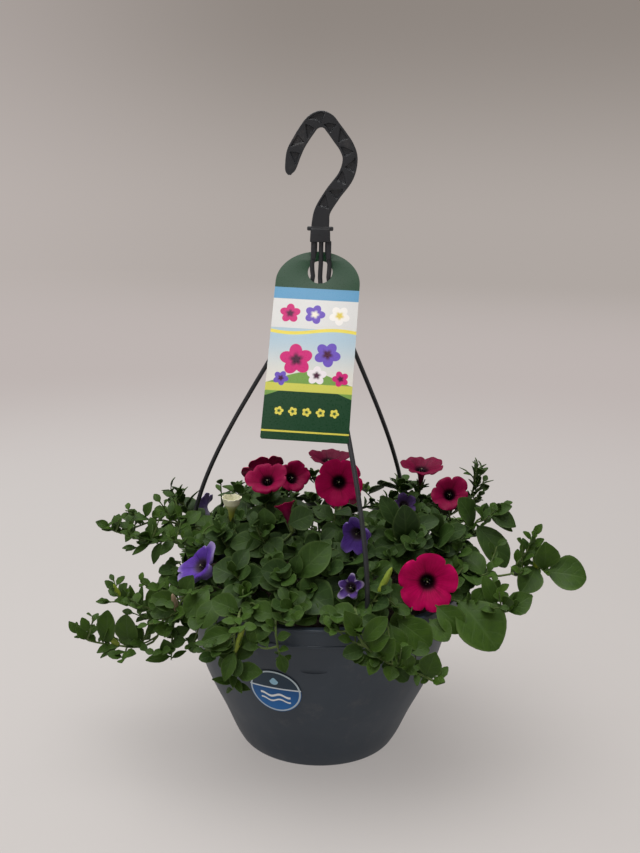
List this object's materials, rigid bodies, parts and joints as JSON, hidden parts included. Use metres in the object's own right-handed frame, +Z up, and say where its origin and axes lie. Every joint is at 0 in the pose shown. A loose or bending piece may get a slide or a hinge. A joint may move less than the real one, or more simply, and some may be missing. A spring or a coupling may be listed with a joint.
{
  "type": "planted hanging basket",
  "caption": "Round planted plastic pot with a water reservoir and a three-armed hook hanger, trailing leafy stems, trumpet blooms, a hanging tag and a round sticker.",
  "frame": {"origin": "middle of the flat underside of the pot's foot", "axes": "+Z up the pot's axis to the hook, -Y to the front where the sticker is, +X to the right seen from the front"},
  "size_m": [0.4719, 0.337, 0.5837],
  "materials": {
    "pot_plastic": "dark slate grey injection-moulded plastic with a soft sheen",
    "insert_plastic": "dark recycled plastic, matt",
    "hanger_plastic": "dark grey moulded plastic, slightly glossy",
    "tag_plastic": "printed plastic card in green, pale blue, white and yellow bands",
    "sticker_film": "round printed film label, slate and blue in a white ring",
    "soil": "moist dark potting compost, crumbly and matt",
    "leaf": "soft matt green leaves and stems with pale veins and fine hairs",
    "petal_magenta": "velvety magenta petals with a dark throat",
    "petal_violet": "velvety violet petals, some edged in white",
    "petal_white": "thin creamy white petals on a yellow-green funnel"
  },
  "bodies": {
    "root": {"bloom_magenta_back": "petal_magenta", "bloom_magenta_back_left": "petal_magenta", "bloom_magenta_behind": "petal_magenta", "bloom_magenta_centre": "petal_magenta", "bloom_magenta_closing": "petal_magenta", "bloom_magenta_front": "petal_magenta", "bloom_magenta_left": "petal_magenta", "bloom_magenta_left_back": "petal_magenta", "bloom_magenta_right": "petal_magenta", "bloom_magenta_top_right": "petal_magenta", "bloom_violet_back": "petal_violet", "bloom_violet_centre": "petal_violet", "bloom_violet_deep": "petal_violet", "bloom_violet_left": "petal_violet", "bloom_violet_star": "petal_violet", "bloom_white_funnel": "petal_white", "hanger": "hanger_plastic", "pot": "pot_plastic", "reservoir_insert": "insert_plastic", "soil": "soil", "spray_back": "leaf", "spray_back_inner": "leaf", "spray_back_left": "leaf", "spray_back_left_inner": "leaf", "spray_back_right": "leaf", "spray_centre_front": "leaf", "spray_centre_left": "leaf", "spray_centre_right": "leaf", "spray_front_bud": "leaf", "spray_front_left": "leaf", "spray_front_right": "leaf", "spray_front_sprout": "leaf", "spray_left_bud": "leaf", "spray_left_down": "leaf", "spray_left_high": "leaf", "spray_left_low": "leaf", "spray_left_mid": "leaf", "spray_left_up": "leaf", "spray_mid": "leaf", "spray_mid_front": "leaf", "spray_mid_left": "leaf", "spray_mid_right": "leaf", "spray_right_far": "leaf", "spray_right_inner": "leaf", "spray_right_low": "leaf", "spray_right_mid": "leaf", "spray_top_right": "leaf", "spray_upper_left": "leaf", "spray_white_bloom": "leaf", "sticker": "sticker_film", "tag": "tag_plastic"}
  },
  "joints": []
}
